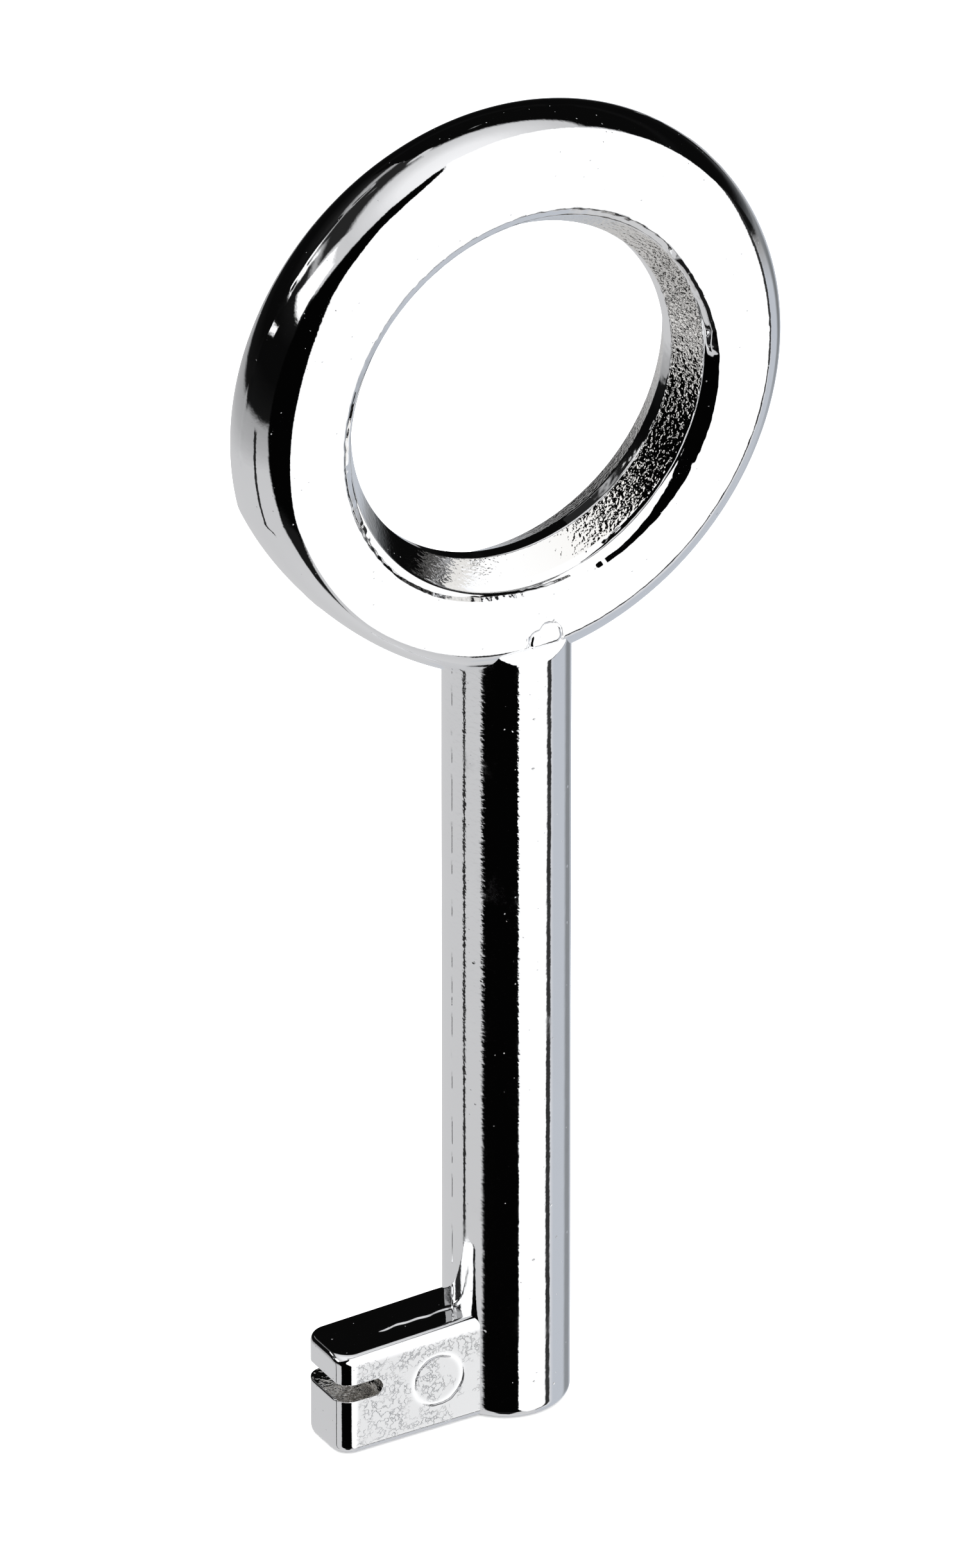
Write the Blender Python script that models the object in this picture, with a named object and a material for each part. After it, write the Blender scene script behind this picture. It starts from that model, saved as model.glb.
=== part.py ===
"""Chrome-plated bit key: a round ring bow, a straight round shank and a small bit with one ward slot.

The key stands upright in its own frame: the shank runs along +Z from the origin, the ring bow lies
in the XZ plane with its axis along Y, and the bit points to -X. The real key is one die casting.
It is modelled as its three sections, each a solid of its own, which face each other across a small gap.
"""
import bpy
import bmesh
import math

MM = 0.001

# Driving dimensions
SHANK_DIAMETER = 6.0 * MM
BOW_DIAMETER = 28.1 * MM
BOW_THICKNESS = 4.9 * MM
BOW_CENTRE_HEIGHT = 53.4 * MM
BIT_REACH = 9.9 * MM
BIT_THICKNESS = 3.5 * MM
BIT_HEIGHT_AT_ROOT = 5.4 * MM
BIT_HEIGHT_AT_END = 5.2 * MM

# Bow section: flat faces, an elliptical rim, and a narrow land where the two halves of the mould met
RIM_DEPTH = 1.7 * MM
BORE_LAND_DIAMETER = 16.9 * MM
BORE_LAND_WIDTH = 0.65 * MM
BORE_LIP_DIAMETER = 18.2 * MM
BORE_LIP_RADIUS = 1.0 * MM

# Flattened arc at the bow's lower left, where the casting's gate was trimmed
GATE_TRIM_DEPTH = 0.8 * MM
GATE_TRIM_ANGLE = math.radians(224)
GATE_TRIM_HALF_ANGLE = math.radians(31)

# Shank: flattened at the top to the bow's thickness, rounded and bored at the lower end
NECK_HEIGHT = 1.5 * MM
NECK_PROUD = 0.08 * MM
SHANK_END_RADIUS = 0.45 * MM
PIPE_BORE_DIAMETER = 3.0 * MM
PIPE_BORE_DEPTH = 9.0 * MM
PIPE_BORE_POINT = 0.8 * MM
PIPE_MOUTH_CHAMFER = 0.15 * MM

# Bit details
BIT_CORNER_RADIUS = 0.84 * MM
BIT_EDGE_RADIUS = 0.35 * MM
WARD_SLOT_DEPTH = 2.15 * MM
WARD_SLOT_HEIGHT = 0.9 * MM
WARD_SLOT_FLOOR = 2.9 * MM

# Gap between neighbouring sections
SECTION_GAP = 0.3 * MM

# Fineness of the round shapes
RING_STEPS = 72
RIM_STEPS = 12
LIP_STEPS = 5
SHANK_STEPS = 48
END_EDGE_STEPS = 4
NECK_STEPS = 5
CORNER_STEPS = 6
SMOOTH_ANGLE = math.radians(32)

# Plating: colour, with the bit's rougher cast skin a little duller
CHROME_COLOUR = (0.86, 0.87, 0.89)
BIT_COLOUR = (0.84, 0.85, 0.87)
CHROME_ROUGHNESS = 0.05
BIT_ROUGHNESS = 0.12

SHANK_RADIUS = SHANK_DIAMETER / 2
BOW_RADIUS = BOW_DIAMETER / 2
BOW_LOW_POINT = BOW_CENTRE_HEIGHT - BOW_RADIUS
HALF_BOW = BOW_THICKNESS / 2
HALF_BIT = BIT_THICKNESS / 2


def clear_scene():
    for obj in list(bpy.data.objects):
        bpy.data.objects.remove(obj, do_unlink=True)


def chrome(name, colour, roughness):
    material = bpy.data.materials.new(name)
    material.use_nodes = True
    shader = material.node_tree.nodes["Principled BSDF"]
    shader.inputs["Base Color"].default_value = (*colour, 1.0)
    shader.inputs["Metallic"].default_value = 1.0
    shader.inputs["Roughness"].default_value = roughness
    return material


def arc(centre, radius, start, end, steps):
    """Points (across, along) on a round edge, from one angle to another, in radians."""
    points = []
    for i in range(steps + 1):
        angle = start + (end - start) * i / steps
        points.append((centre[0] + radius * math.cos(angle), centre[1] + radius * math.sin(angle)))
    return points


def make_object(name, mesh_data, material):
    mesh = bpy.data.meshes.new(name)
    bmesh.ops.recalc_face_normals(mesh_data, faces=mesh_data.faces)
    mesh_data.to_mesh(mesh)
    mesh_data.free()
    mesh.shade_smooth()
    mesh.set_sharp_from_angle(angle=SMOOTH_ANGLE)
    obj = bpy.data.objects.new(name, mesh)
    bpy.context.scene.collection.objects.link(obj)
    if material:
        mesh.materials.append(material)
    return obj


def turned_solid(profile, steps):
    """A solid turned about Z: the (radius, z) profile starts and ends on the axis."""
    data = bmesh.new()
    first = data.verts.new((0, 0, profile[0][1]))
    last = data.verts.new((0, 0, profile[-1][1]))
    loops = []
    for r, z in profile[1:-1]:
        loops.append([
            data.verts.new((r * math.cos(2 * math.pi * i / steps), r * math.sin(2 * math.pi * i / steps), z))
            for i in range(steps)
        ])
    for i in range(steps):
        j = (i + 1) % steps
        data.faces.new((first, loops[0][i], loops[0][j]))
        data.faces.new((last, loops[-1][j], loops[-1][i]))
        for low, high in zip(loops, loops[1:]):
            data.faces.new((low[i], low[j], high[j], high[i]))
    return data


def cut(obj, cutter, name):
    """Subtract a hidden cutter from an object."""
    cutter.hide_render = True
    cutter.display_type = "WIRE"
    modifier = obj.modifiers.new(name, "BOOLEAN")
    modifier.operation = "DIFFERENCE"
    modifier.object = cutter
    modifier.solver = "EXACT"


def bow_section():
    """Closed (radius, y) outline of the ring: land, back wall and lip, rim from back to front, front lip."""
    lip_radius = BORE_LIP_DIAMETER / 2 + BORE_LIP_RADIUS
    lip_y = HALF_BOW - BORE_LIP_RADIUS
    land = BORE_LAND_DIAMETER / 2
    points = [(land, -BORE_LAND_WIDTH / 2), (land, BORE_LAND_WIDTH / 2)]
    points += arc((lip_radius, lip_y), BORE_LIP_RADIUS, math.pi, math.pi / 2, LIP_STEPS)
    for i in range(RIM_STEPS + 1):
        turn = math.pi / 2 - math.pi * i / RIM_STEPS
        points.append((BOW_RADIUS - RIM_DEPTH + RIM_DEPTH * math.cos(turn), HALF_BOW * math.sin(turn)))
    points += arc((lip_radius, -lip_y), BORE_LIP_RADIUS, -math.pi / 2, -math.pi, LIP_STEPS)
    return points


def gate_trim(angle):
    """How far the rim is cut back at an angle round the ring, from +X towards +Z."""
    away = (angle - GATE_TRIM_ANGLE) / GATE_TRIM_HALF_ANGLE
    return GATE_TRIM_DEPTH * max(1 - away * away, 0)


def make_bow():
    """The section swept round an axis along Y, its rim cut back over the trimmed arc."""
    data = bmesh.new()
    section = bow_section()
    face_radius = BOW_RADIUS - RIM_DEPTH
    loops = []
    for i in range(RING_STEPS):
        angle = 2 * math.pi * i / RING_STEPS
        kept = 1 - gate_trim(angle) / RIM_DEPTH
        loop = []
        for r, y in section:
            radius = face_radius + (r - face_radius) * kept if r > face_radius else r
            loop.append(data.verts.new((
                radius * math.cos(angle), y, BOW_CENTRE_HEIGHT + radius * math.sin(angle),
            )))
        loops.append(loop)
    count = len(section)
    for i in range(RING_STEPS):
        this, after = loops[i], loops[(i + 1) % RING_STEPS]
        for k in range(count):
            m = (k + 1) % count
            data.faces.new((this[k], this[m], after[m], after[k]))
    return make_object("bow", data, chrome("bow_chrome", CHROME_COLOUR, CHROME_ROUGHNESS))


def bow_clearance_cutter():
    """A solid disc, a gap larger than the bow, that gives the shank its saddle-shaped top."""
    data = bmesh.new()
    radius = BOW_RADIUS + SECTION_GAP
    steps = 2 * RING_STEPS
    loops = []
    for y in (-SHANK_DIAMETER, SHANK_DIAMETER):
        loop = []
        for i in range(steps):
            angle = 2 * math.pi * (i + 0.5) / steps
            loop.append(data.verts.new((
                radius * math.sin(angle), y, BOW_CENTRE_HEIGHT - radius * math.cos(angle),
            )))
        loops.append(loop)
    data.faces.new(loops[0])
    data.faces.new(loops[1])
    for i in range(steps):
        j = (i + 1) % steps
        data.faces.new((loops[0][i], loops[0][j], loops[1][j], loops[1][i]))
    return make_object("bow_clearance", data, None)


def flatten_neck(data):
    """Bring the shank's front and back in to the bow's faces over the last stretch below the rim."""
    narrowing = 1 - (HALF_BOW + NECK_PROUD) / SHANK_RADIUS
    for vert in data.verts:
        share = min(max((vert.co.z - (BOW_LOW_POINT - NECK_HEIGHT)) / NECK_HEIGHT, 0), 1)
        vert.co.y *= 1 - narrowing * share * share * (3 - 2 * share)


def make_shank():
    """Round bar with a flattened neck, a rounded lower edge and a blind pipe bore in its end."""
    bore = PIPE_BORE_DIAMETER / 2
    top = BOW_LOW_POINT + SHANK_RADIUS / 2
    profile = [(0, PIPE_BORE_DEPTH + PIPE_BORE_POINT), (bore, PIPE_BORE_DEPTH)]
    profile += [(bore, PIPE_MOUTH_CHAMFER), (bore + PIPE_MOUTH_CHAMFER, 0)]
    edge_centre = (SHANK_RADIUS - SHANK_END_RADIUS, SHANK_END_RADIUS)
    profile += arc(edge_centre, SHANK_END_RADIUS, -math.pi / 2, 0, END_EDGE_STEPS)
    for i in range(NECK_STEPS + 1):
        profile.append((SHANK_RADIUS, BOW_LOW_POINT - NECK_HEIGHT * (1 - i / NECK_STEPS)))
    profile += [(SHANK_RADIUS, top), (0, top)]
    data = turned_solid(profile, SHANK_STEPS)
    flatten_neck(data)
    obj = make_object("shank", data, chrome("shank_chrome", CHROME_COLOUR, CHROME_ROUGHNESS))
    cut(obj, bow_clearance_cutter(), "saddle")
    return obj


def bit_outline():
    """Plan outline of the bit, rounded at its two outer corners; its root starts inside the shank."""
    inner = -SHANK_RADIUS / 3
    centre_x = -BIT_REACH + BIT_CORNER_RADIUS
    centre_y = HALF_BIT - BIT_CORNER_RADIUS
    points = [(inner, -HALF_BIT)]
    points += arc((centre_x, -centre_y), BIT_CORNER_RADIUS, 1.5 * math.pi, math.pi, CORNER_STEPS)
    points += arc((centre_x, centre_y), BIT_CORNER_RADIUS, math.pi, math.pi / 2, CORNER_STEPS)
    points += [(inner, HALF_BIT)]
    return points


def bit_height(x):
    share = (-x - SHANK_RADIUS) / (BIT_REACH - SHANK_RADIUS)
    return BIT_HEIGHT_AT_ROOT + (BIT_HEIGHT_AT_END - BIT_HEIGHT_AT_ROOT) * share


def ward_cutter():
    """The straight slot that lets the key pass one ward, cut from the end of the bit."""
    data = bmesh.new()
    length = 2 * WARD_SLOT_DEPTH
    bmesh.ops.create_cube(data, size=1.0)
    for vert in data.verts:
        vert.co.x = vert.co.x * length - BIT_REACH
        vert.co.y = vert.co.y * 2 * BIT_THICKNESS
        vert.co.z = (vert.co.z + 0.5) * WARD_SLOT_HEIGHT + WARD_SLOT_FLOOR
    return make_object("ward_cutter", data, None)


def shank_clearance_cutter():
    """A round bar, a gap larger than the shank, that gives the bit its hollow root."""
    radius = SHANK_RADIUS + SECTION_GAP
    low, high = -BIT_HEIGHT_AT_ROOT, 2 * BIT_HEIGHT_AT_ROOT
    profile = [(0, low), (radius, low), (radius, high), (0, high)]
    return make_object("shank_clearance", turned_solid(profile, SHANK_STEPS), None)


def make_bit():
    """The outline raised to a slightly sloping top, its edges rounded, then slotted and fitted to the shank."""
    data = bmesh.new()
    outline = bit_outline()
    low = [data.verts.new((x, y, 0)) for x, y in outline]
    high = [data.verts.new((x, y, bit_height(x))) for x, y in outline]
    count = len(outline)
    bottom = data.faces.new(low)
    top = data.faces.new(high)
    for i in range(count):
        j = (i + 1) % count
        data.faces.new((low[i], low[j], high[j], high[i]))
    edges = list(set(bottom.edges) | set(top.edges))
    bmesh.ops.bevel(data, geom=edges, offset=BIT_EDGE_RADIUS, segments=2, profile=0.5, affect="EDGES")
    obj = make_object("bit", data, chrome("bit_chrome", BIT_COLOUR, BIT_ROUGHNESS))
    cut(obj, shank_clearance_cutter(), "hollow_root")
    cut(obj, ward_cutter(), "ward_slot")
    return obj


clear_scene()
make_bow()
make_shank()
make_bit()
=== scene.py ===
"""Looks for the chrome bit key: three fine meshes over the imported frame, procedural chrome and a studio.

The key stands upright: shank along +Z, ring bow in the XZ plane with its axis along Y, bit towards -X.
Each of the three sections runs a little way into its neighbour, as the one casting does.
Lengths are in metres, written as millimetres times MM. Only the tuples that waves and swell take hold plain
millimetres. Angles round the bow run from +X towards +Z.
"""

import math

import bmesh
import bpy
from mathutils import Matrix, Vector, noise


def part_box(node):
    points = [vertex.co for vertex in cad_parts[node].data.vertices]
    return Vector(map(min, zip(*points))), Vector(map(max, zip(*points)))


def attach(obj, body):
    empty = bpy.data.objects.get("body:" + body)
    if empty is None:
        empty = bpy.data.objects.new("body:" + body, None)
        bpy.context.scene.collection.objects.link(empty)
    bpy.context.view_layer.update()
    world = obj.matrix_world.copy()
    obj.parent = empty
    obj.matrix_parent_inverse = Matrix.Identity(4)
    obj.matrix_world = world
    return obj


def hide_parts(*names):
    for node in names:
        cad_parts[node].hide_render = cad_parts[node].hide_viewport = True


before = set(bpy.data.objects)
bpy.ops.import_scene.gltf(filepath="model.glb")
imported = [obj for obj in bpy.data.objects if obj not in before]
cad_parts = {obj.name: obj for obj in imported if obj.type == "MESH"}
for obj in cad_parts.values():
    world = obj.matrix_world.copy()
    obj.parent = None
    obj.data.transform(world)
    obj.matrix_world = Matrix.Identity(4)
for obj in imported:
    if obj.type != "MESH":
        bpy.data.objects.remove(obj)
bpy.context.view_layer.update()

MM = 0.001

# Sizes read from the frame
BOW_LOW, BOW_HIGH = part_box("bow")
SHANK_LOW, SHANK_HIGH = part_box("shank")
BIT_LOW, BIT_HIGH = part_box("bit")
BOW_RADIUS = (BOW_HIGH.x - BOW_LOW.x) / 2
BOW_CENTRE_Z = (BOW_HIGH.z + BOW_LOW.z) / 2
BOW_FOOT_Z = BOW_CENTRE_Z - BOW_RADIUS
HALF_BOW = (BOW_HIGH.y - BOW_LOW.y) / 2
SHANK_RADIUS = (SHANK_HIGH.x - SHANK_LOW.x) / 2
HALF_BIT = (BIT_HIGH.y - BIT_LOW.y) / 2
BIT_END_X = BIT_LOW.x
BIT_TOP_Z = BIT_HIGH.z

# The plane where the two halves of the mould met, and the broken ridge that it left
PARTING_Y = -0.12 * MM
SEAM_WIDTH = 0.07 * MM


# ---------------------------------------------------------------- mesh helpers

MERGE_DISTANCE = 0.5e-6
DEGENERATE_LENGTH = 1e-7


def smoothstep(low, high, value):
    share = min(max((value - low) / (high - low), 0.0), 1.0)
    return share * share * (3 - 2 * share)


def bump_at(distance, width):
    """A smooth hump, 1 where distance is 0 and gone beyond about twice the width."""
    return math.exp(-(distance / width) ** 2)


def ripple(point, size, seed):
    """Smooth noise from -1 to 1 whose features are about size across."""
    return noise.noise(Vector((point[0] / size + seed, point[1] / size - seed, point[2] / size + 2 * seed)))


def waves(point, *layers):
    """Smooth noise in layers of (height, size, seed), with height and size in millimetres."""
    return sum(height * MM * ripple(point, size * MM, seed) for height, size, seed in layers)


def seam(co, height, gap, seed, fill):
    """Height of the ridge along the parting plane, in dashes about gap long; fill below 0 closes the gaps."""
    dashes = smoothstep(fill, 0.1, ripple(co, gap, seed))
    return height * dashes * bump_at(co.y - PARTING_Y, SEAM_WIDTH)


def arc(centre, radius, start, end, steps):
    points = []
    for i in range(steps + 1):
        angle = start + (end - start) * i / steps
        points.append((centre[0] + radius * math.cos(angle), centre[1] + radius * math.sin(angle)))
    return points


def line(start, end, steps):
    """Points from start up to, and without, end."""
    return [
        tuple(a + (b - a) * i / steps for a, b in zip(start, end))
        for i in range(steps)
    ]


def blend(first, second, share):
    """Each point of the first list moved towards its partner in the second, by share from 0 to 1."""
    return [
        tuple(a + (b - a) * share for a, b in zip(one, other))
        for one, other in zip(first, second)
    ]


def skin(name, rows, ring):
    """A closed mesh over rows of points. Every row is a loop; a ring joins the last row to the first."""
    data = bmesh.new()
    loops = [[data.verts.new(p) for p in row] for row in rows]
    count = len(rows[0])
    pairs = list(zip(loops, loops[1:]))
    if ring:
        pairs.append((loops[-1], loops[0]))
    for this, after in pairs:
        for k in range(count):
            m = (k + 1) % count
            data.faces.new((this[k], this[m], after[m], after[k]))
    if not ring:
        data.faces.new(loops[0])
        data.faces.new(loops[-1])
    bmesh.ops.remove_doubles(data, verts=data.verts, dist=MERGE_DISTANCE)
    bmesh.ops.dissolve_degenerate(data, edges=data.edges, dist=DEGENERATE_LENGTH)
    bmesh.ops.recalc_face_normals(data, faces=data.faces)
    mesh = bpy.data.meshes.new(name)
    data.to_mesh(mesh)
    data.free()
    mesh.shade_smooth()
    obj = bpy.data.objects.new(name, mesh)
    bpy.context.scene.collection.objects.link(obj)
    return obj


def mark(obj, name, share):
    """Store share(position, normal), from 0 to 1, on every vertex for the materials to read."""
    mesh = obj.data
    values = [share(v.co, v.normal) for v in mesh.vertices]
    mesh.attributes.new(name, "FLOAT", "POINT").data.foreach_set("value", values)


def relief(obj, height):
    """Push every vertex along its normal by height(position, normal)."""
    mesh = obj.data
    moves = [v.normal * height(v.co, v.normal) for v in mesh.vertices]
    for v, move in zip(mesh.vertices, moves):
        v.co += move
    mesh.update()


# ---------------------------------------------------------------- bow

# Section, as the frame's
RIM_DEPTH = 1.7 * MM
RIM_START = BOW_RADIUS - RIM_DEPTH
BACK_EDGE_RADIUS = 10.0 * MM
LAND_RADIUS = 8.45 * MM
LAND_WIDTH = 0.65 * MM
LAND_STEPS = 8
BACK_WALL_STEPS = 30
BACK_LIP_STEPS = 12
BACK_FACE_STEPS = 26
RIM_STEPS = 72
FACE_STEPS = 44
LIP_STEPS = 20
WALL_STEPS = 34

# Steps round the ring in degrees, with finer ones on both sides of its foot
RING_STEP = 0.75
FINE_RING_STEP = 0.25
FINE_HALF_ANGLE = 8

# The rim is cut back where the casting's gate was trimmed off
GATE_DEPTH = 0.8 * MM
GATE_ANGLE = math.radians(224)
GATE_HALF_ANGLE = math.radians(31)

# The inner edge of the front face, dressed by hand: it swells out and draws in, by (centre and spread in
# degrees, amount in millimetres), and has fine nicks
INNER_EDGE_RADIUS = 9.92 * MM
INNER_EDGE_SWELLS = ((30, 26, -0.34), (-42, 30, 0.16), (-98, 18, -0.20), (125, 45, 0.18))
INNER_EDGE_NICKS = (0.035, 0.28, 4.4)

# The top of the bore's front wall stands further out at the bow's foot, and nearer the face on the lower left
WALL_TOP_RADIUS = 9.38 * MM
WALL_TOP_DEPTH = 0.55 * MM
WALL_SWELL = (-85, 50, 0.24)
WALL_RISE = (-130, 45, 0.20)

# The lip between them is rounded, except for a bevel on the right and a step with a ledge along the lower
# left. Every pair of angles is in degrees: nothing at the first, whole from the second on.
LIP_KNEE = (-0.05 * MM, 0.01 * MM)
STEP_DROP = 0.55 * MM
STEP_SLOPE = 0.70
LOW_STRETCH = (-36, -62)
LOW_DROP = -0.30 * MM
LOW_SLOPE = -0.10
FAR_STRETCH = (-125, -150)
FAR_SLOPE = 0.12
BEVEL_START = (-4, 8)
BEVEL_END = (44, 32)
BEVEL_DROP = -0.45 * MM
BEVEL_SLOPE = 1.0
LEDGE_START = (-34, -44)
LEDGE_END = (-218, -188)
# Angles past this one count on below -180, where the ledge fades out
LIP_WRAP = 120

# Surface
BOW_WAVES = ((0.004, 2.4, 0.0), (0.0012, 0.8, 3.1))
BOW_SEAM_HEIGHT = 0.02 * MM
BOW_SEAM_GAP = 0.9 * MM
BORE_LUMPS = (0.007, 0.22, 7.7)
BEAD_HEIGHT = 0.025 * MM
BEAD_WIDTH = 0.06 * MM
RIM_NICKS = (0.006, 0.22, 6.6)
RIM_NICK_RADIUS = 12.5 * MM
RIM_NICK_WIDTH = 0.16 * MM

# Cast grain in the bore: it fades in over the first angles in radians, and out over the second
GRAIN_START = (math.radians(-112), math.radians(-40))
GRAIN_END = (2.2, 0.9)
LEAST_GRAIN = 0.12

# Ejector pad at the bow's foot
PAD_X = 0.68 * MM
PAD_Z = 41.1 * MM
PAD_RADIUS = 0.8 * MM
PAD_RISE = 0.05 * MM
PAD_WOBBLE = (0.08, 0.3, 1.3)
PAD_NOTCH = 0.24 * MM
PAD_NOTCH_ANGLE = math.radians(118)
PAD_NOTCH_SPREAD = 0.3
GROOVE_DEPTH = 0.045 * MM
GROOVE_OUTSET = 0.04 * MM
GROOVE_WIDTH = 0.05 * MM
CURL_RADIUS = 1.32 * PAD_RADIUS
CURL_HEIGHT = 0.05 * MM
CURL_WIDTH = 0.06 * MM
CURL_WOBBLE = (0.10, 0.18, 8.8)


def swell(angle, centre, spread, amount):
    """A smooth hump of amount millimetres at an angle round the bow; centre and spread are in degrees."""
    away = math.remainder(angle - math.radians(centre), 2 * math.pi)
    return amount * MM * bump_at(away, math.radians(spread))


def inner_edge(angle):
    """Radius where the front face breaks into the bore."""
    radius = INNER_EDGE_RADIUS + sum(swell(angle, *spot) for spot in INNER_EDGE_SWELLS)
    return radius + waves((math.cos(angle) * radius, 0.0, math.sin(angle) * radius), INNER_EDGE_NICKS)


def wall_top(angle):
    """Radius and y where the bore's front wall ends."""
    radius = WALL_TOP_RADIUS + swell(angle, *WALL_SWELL)
    return radius, -HALF_BOW + WALL_TOP_DEPTH - swell(angle, *WALL_RISE)


def front_lip(angle):
    """Points from the face's inner edge to the top of the bore's front wall."""
    edge = (inner_edge(angle), -HALF_BOW)
    top = wall_top(angle)
    turn = math.degrees(angle)
    if turn > LIP_WRAP:
        turn -= 360
    low = smoothstep(*LOW_STRETCH, turn)
    far = smoothstep(*FAR_STRETCH, turn)
    bevel = smoothstep(*BEVEL_START, turn) * smoothstep(*BEVEL_END, turn)
    ledge = smoothstep(*LEDGE_START, turn) * smoothstep(*LEDGE_END, turn)

    knee = (edge[0] + LIP_KNEE[0], edge[1] + LIP_KNEE[1])
    rounded = []
    for i in range(LIP_STEPS):
        k = i / LIP_STEPS
        rounded.append(tuple(
            a * (1 - k) ** 2 + 2 * b * k * (1 - k) + c * k * k
            for a, b, c in zip(edge, knee, top)
        ))
    drop = STEP_DROP + LOW_DROP * low + BEVEL_DROP * bevel
    inset = drop * (STEP_SLOPE + LOW_SLOPE * low + FAR_SLOPE * far + BEVEL_SLOPE * bevel)
    step = (edge[0] - inset, edge[1] + drop)
    half = LIP_STEPS // 2
    stepped = line(edge, step, half) + line(step, top, LIP_STEPS - half)
    return blend(rounded, stepped, ledge + bevel)


def bow_section(angle):
    """Closed (radius, y) outline: land, back wall and lip, back face, rim, front face, lip, front wall."""
    land_back = (LAND_RADIUS, PARTING_Y + LAND_WIDTH / 2)
    land_front = (LAND_RADIUS, PARTING_Y - LAND_WIDTH / 2)
    back_top = (WALL_TOP_RADIUS, HALF_BOW - WALL_TOP_DEPTH)
    back_edge = (BACK_EDGE_RADIUS, HALF_BOW)
    points = line(land_front, land_back, LAND_STEPS)
    points += line(land_back, back_top, BACK_WALL_STEPS)
    points += line(back_top, back_edge, BACK_LIP_STEPS)
    points += line(back_edge, (RIM_START, HALF_BOW), BACK_FACE_STEPS)
    for i in range(RIM_STEPS):
        turn = math.pi / 2 - math.pi * i / RIM_STEPS
        points.append((RIM_START + RIM_DEPTH * math.cos(turn), HALF_BOW * math.sin(turn)))
    lip = front_lip(angle)
    points += line((RIM_START, -HALF_BOW), lip[0], FACE_STEPS)
    points += lip
    points += line(wall_top(angle), land_front, WALL_STEPS)
    return points


def bow_angles():
    """Angles of the sections round the ring."""
    angles = []
    angle = -math.pi
    while angle < math.pi - 1e-6:
        angles.append(angle)
        near = abs(angle + math.pi / 2) < math.radians(FINE_HALF_ANGLE)
        angle += math.radians(FINE_RING_STEP if near else RING_STEP)
    return angles


def gate_trim(angle):
    """How far the rim is cut back."""
    away = ((angle % (2 * math.pi)) - GATE_ANGLE) / GATE_HALF_ANGLE
    return GATE_DEPTH * max(1 - away * away, 0)


def make_bow():
    rows = []
    for angle in bow_angles():
        kept = 1 - gate_trim(angle) / RIM_DEPTH
        row = []
        for r, y in bow_section(angle):
            radius = RIM_START + (r - RIM_START) * kept if r > RIM_START else r
            row.append((radius * math.cos(angle), y, BOW_CENTRE_Z + radius * math.sin(angle)))
        rows.append(row)
    bow = skin("key_bow", rows, ring=True)
    mark(bow, "grain", bore_grain)
    relief(bow, bow_height)
    return bow


def bore_grain(co, no):
    """Where the bore keeps its cast grain: its walls, most on the right, but not the land between them."""
    x, z = co.x, co.z - BOW_CENTRE_Z
    radius = math.hypot(x, z)
    inward = -(no.x * x + no.z * z) / radius
    wall = smoothstep(LAND_RADIUS + 0.01 * MM, LAND_RADIUS + 0.05 * MM, radius)
    wall *= smoothstep(0.5, 0.7, inward)
    wall *= smoothstep(WALL_TOP_RADIUS, WALL_TOP_RADIUS - 0.06 * MM, radius)
    angle = math.atan2(z, x)
    side = smoothstep(*GRAIN_START, angle) * smoothstep(*GRAIN_END, angle)
    return wall * (LEAST_GRAIN + (1 - LEAST_GRAIN) * side)


def bow_height(co, no):
    x, z = co.x, co.z - BOW_CENTRE_Z
    radius = math.hypot(x, z)
    angle = math.atan2(z, x)
    outward = (no.x * x + no.z * z) / radius
    height = waves(co, *BOW_WAVES)
    if outward < -0.3:
        height += bore_height(co, radius, angle)
    if outward > 0.9:
        height += seam(co, BOW_SEAM_HEIGHT, BOW_SEAM_GAP, 5.2, -0.25)
    if no.y < -0.9:
        height += pad_height(co)
    if no.y < -0.7 and -1.5 < angle < 0.9:
        height += waves(co, RIM_NICKS) * bump_at(radius - RIM_NICK_RADIUS, RIM_NICK_WIDTH)
    return height


def bore_height(co, radius, angle):
    """Cast lumps on the front wall, except on its lower left, and the bead along the wall's top."""
    lumps = smoothstep(math.radians(-100), math.radians(-40), angle)
    lumps *= smoothstep(0.3 * MM, -0.1 * MM, co.y)
    top_radius, top_y = wall_top(angle)
    bead = bump_at(math.hypot(radius - top_radius, co.y - top_y), BEAD_WIDTH)
    return lumps * waves(co, BORE_LUMPS) + BEAD_HEIGHT * bead


def pad_height(co):
    """The mark of an ejector pin: a fine groove round a low pad, and a ragged curl of flash on its left."""
    dx, dz = co.x - PAD_X, co.z - PAD_Z
    away = math.hypot(dx, dz)
    if away > 2 * PAD_RADIUS:
        return 0.0
    notch = PAD_NOTCH * bump_at(math.atan2(dz, dx) - PAD_NOTCH_ANGLE, PAD_NOTCH_SPREAD)
    edge = away + waves(co, PAD_WOBBLE) + notch - PAD_RADIUS
    height = PAD_RISE * smoothstep(0.03 * MM, -0.09 * MM, edge)
    height -= GROOVE_DEPTH * bump_at(edge - GROOVE_OUTSET, GROOVE_WIDTH)
    if dx < -0.15 * MM and -0.95 * MM < dz < 0.45 * MM:
        height += CURL_HEIGHT * bump_at(away - CURL_RADIUS + waves(co, CURL_WOBBLE), CURL_WIDTH)
    return height


# ---------------------------------------------------------------- shank

# The neck, measured up from the bow's foot, where the shank sinks into the bow's faces
NECK_START = 1.0 * MM
NECK_HEIGHT = 0.55 * MM
NECK_PROUD = -0.06 * MM
NECK_BLEND = 0.08 * MM
NECK_ONSET = 4
SHANK_OVERLAP = 1.7 * MM

SHANK_END_EDGE = 0.45 * MM
PIPE_RADIUS = 1.5 * MM
PIPE_DEPTH = 9.0 * MM
PIPE_TIP = 0.8 * MM
PIPE_TIP_SHARE = 0.02
PIPE_MOUTH = 0.15 * MM

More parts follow.
